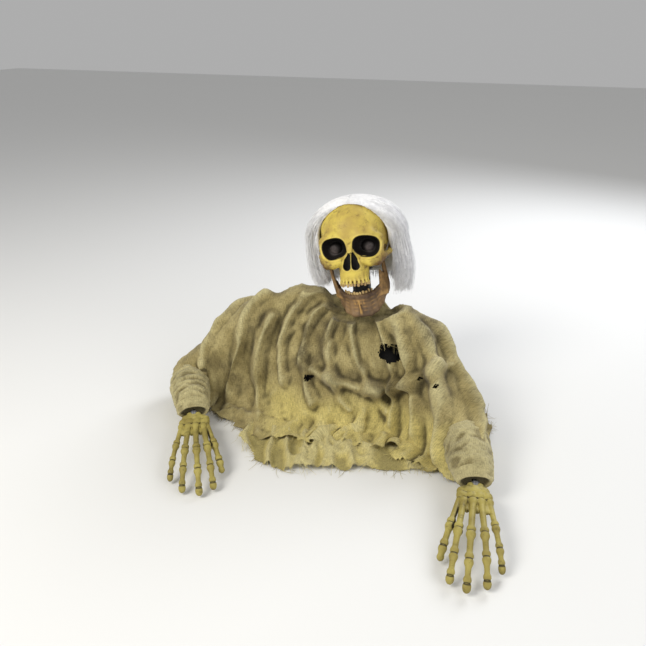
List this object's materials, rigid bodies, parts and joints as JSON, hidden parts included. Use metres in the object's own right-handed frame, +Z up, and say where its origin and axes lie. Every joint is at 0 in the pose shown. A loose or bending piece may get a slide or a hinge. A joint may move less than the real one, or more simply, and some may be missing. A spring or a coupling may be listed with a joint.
{
  "type": "halloween skeleton figure",
  "caption": "Half-figure of a skeleton climbing out of the ground: skull with hinged jaw and white wig, torn gauze shroud over a stuffed chest, padded wire arms, bone hands and a ground stake.",
  "frame": {"origin": "centre of the bounding box on the ground plane", "axes": "+Z up, the figure faces -Y, its shoulders lie along X"},
  "size_m": [0.562, 0.4814, 0.3417],
  "materials": {
    "bone": "moulded plastic, painted yellowish bone with brown wash",
    "jaw_bone": "moulded plastic, painted darker orange-brown bone",
    "hand_bone": "moulded plastic, olive-yellow bone with dark joint lines",
    "gauze": "loose woven gauze, dirty olive, frayed and torn",
    "pale_gauze": "sheer yellowish gauze, frayed",
    "black_cloth": "black woven cloth over stuffing",
    "hair": "white synthetic hair",
    "net": "dark wig net",
    "black_plastic": "black moulded plastic",
    "steel": "plain steel wire"
  },
  "bodies": {
    "torso": {"chest_pad": "black_cloth", "shroud_body": "gauze", "yoke_wire": "steel", "neck_post": "black_plastic", "neck_screw": "steel", "neck_washer": "steel", "stake_loop": "black_cloth", "front_rag": "pale_gauze", "left_shoulder_rivet": "steel", "right_shoulder_rivet": "steel"},
    "head": {"skull_front": "bone", "skull_back": "bone", "skull_peg_top": "black_plastic", "skull_peg_left": "black_plastic", "skull_peg_right": "black_plastic", "wig_cap": "net", "wig_hair": "hair", "jaw_screw_left": "steel", "jaw_screw_right": "steel"},
    "jaw": {"jaw": "jaw_bone"},
    "stake": {"ground_stake": "steel"},
    "left_upper_arm": {"left_upper_arm_wire": "steel", "left_upper_arm_pad": "black_cloth", "shroud_left_sleeve": "gauze", "left_elbow_rivet": "steel"},
    "left_forearm": {"left_forearm_wire": "steel", "left_forearm_pad": "black_cloth", "left_forearm_sleeve": "gauze", "left_cuff": "gauze", "left_wrist_rivet": "steel"},
    "left_hand": {"left_hand": "hand_bone", "left_wrist_link": "steel"},
    "right_upper_arm": {"right_upper_arm_wire": "steel", "right_upper_arm_pad": "black_cloth", "shroud_right_sleeve": "gauze", "right_elbow_rivet": "steel"},
    "right_forearm": {"right_forearm_wire": "steel", "right_forearm_pad": "black_cloth", "right_forearm_sleeve": "gauze", "right_cuff": "gauze", "right_wrist_rivet": "steel"},
    "right_hand": {"right_hand": "hand_bone", "right_wrist_link": "steel"}
  },
  "joints": [
    {"name": "head_turn", "type": "hinge", "parent": "torso", "child": "head", "pos_m": [-0.01585, 0.17152, 0.22547], "axis": [-0.1892, 0.1951, 0.9624], "range_deg": [-25, 30]},
    {"name": "jaw_open", "type": "hinge", "parent": "head", "child": "jaw", "pos_m": [-0.01608, 0.15687, 0.24294], "axis": [0.9727, 0.1715, 0.1564], "range_deg": [-11, 8]},
    {"name": "left_shoulder_swing", "type": "hinge", "parent": "torso", "child": "left_upper_arm", "pos_m": [-0.1767, 0.1113, 0.126], "axis": [0, 0, 1], "range_deg": [-20, 8], "deforming": ["shroud_left_sleeve"]},
    {"name": "left_elbow_bend", "type": "hinge", "parent": "left_upper_arm", "child": "left_forearm", "pos_m": [-0.27502, 0.04745, 0.04238], "axis": [0, 0, 1], "range_deg": [-45, 5]},
    {"name": "left_wrist_lift", "type": "hinge", "parent": "left_forearm", "child": "left_hand", "pos_m": [-0.2092, -0.05014, 0.03415], "axis": [-0.8746, -0.4848, 0], "range_deg": [0, 40]},
    {"name": "right_shoulder_swing", "type": "hinge", "parent": "torso", "child": "right_upper_arm", "pos_m": [0.0993, 0.1113, 0.126], "axis": [0, 0, 1], "range_deg": [-8, 20], "deforming": ["shroud_right_sleeve"]},
    {"name": "right_elbow_bend", "type": "hinge", "parent": "right_upper_arm", "child": "right_forearm", "pos_m": [0.1891, 0.03594, 0.04238], "axis": [0, 0, 1], "range_deg": [-40, 30]},
    {"name": "right_wrist_lift", "type": "hinge", "parent": "right_forearm", "child": "right_hand", "pos_m": [0.22546, -0.07593, 0.03312], "axis": [-0.9877, -0.1564, 0], "range_deg": [0, 40]},
    {"name": "stake_slide", "type": "slide", "parent": "torso", "child": "stake", "axis": [0, 0, 1], "range_m": [-0.07, 0]}
  ]
}
